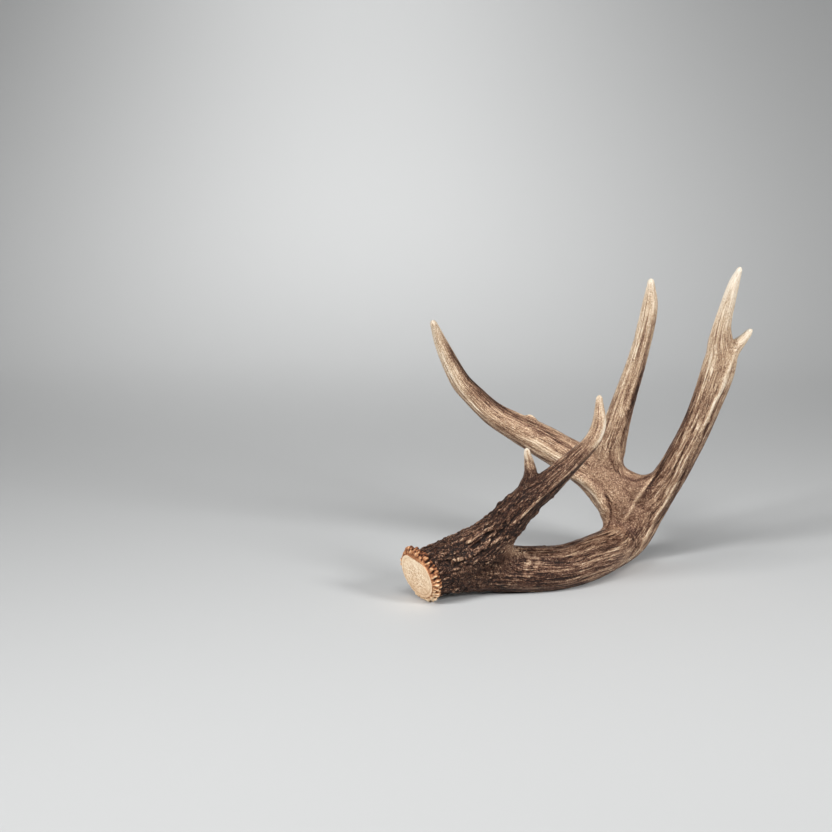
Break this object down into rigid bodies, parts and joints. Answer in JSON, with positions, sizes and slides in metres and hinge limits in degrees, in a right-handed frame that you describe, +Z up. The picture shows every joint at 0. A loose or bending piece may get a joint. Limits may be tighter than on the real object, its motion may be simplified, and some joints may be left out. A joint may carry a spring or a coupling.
{
  "type": "deer antler",
  "caption": "Dropped deer antler with burr, curved beam, forked brow tine, palm, middle tine and forked outer tine, lying on its burr and beam.",
  "frame": {"origin": "middle of the antler's footprint box, on the surface it lies on", "axes": "+Z up from the surface, +X from the burr towards the outer tine, +Y from the brow tine towards the back of the palm"},
  "size_m": [0.3154, 0.1648, 0.3003],
  "materials": {
    "burr_and_lower_beam": "rough natural antler, dark brown with tan pearls and ridges, pale sawn face at the burr",
    "brow_tine_antler": "rough natural antler, dark brown, running to an ivory tip",
    "outer_tine_antler": "ridged natural antler, tan with brown streaks and an ivory tip",
    "upper_beam_antler": "finely grained natural antler, greyish tan with an ivory tip",
    "middle_tine_antler": "finely grained natural antler, tan with brown streaks and an ivory tip"
  },
  "bodies": {
    "root": {"lower_beam": "burr_and_lower_beam", "brow_tine": "brow_tine_antler", "outer_tine": "outer_tine_antler", "upper_beam": "upper_beam_antler", "middle_tine": "middle_tine_antler"}
  },
  "joints": []
}
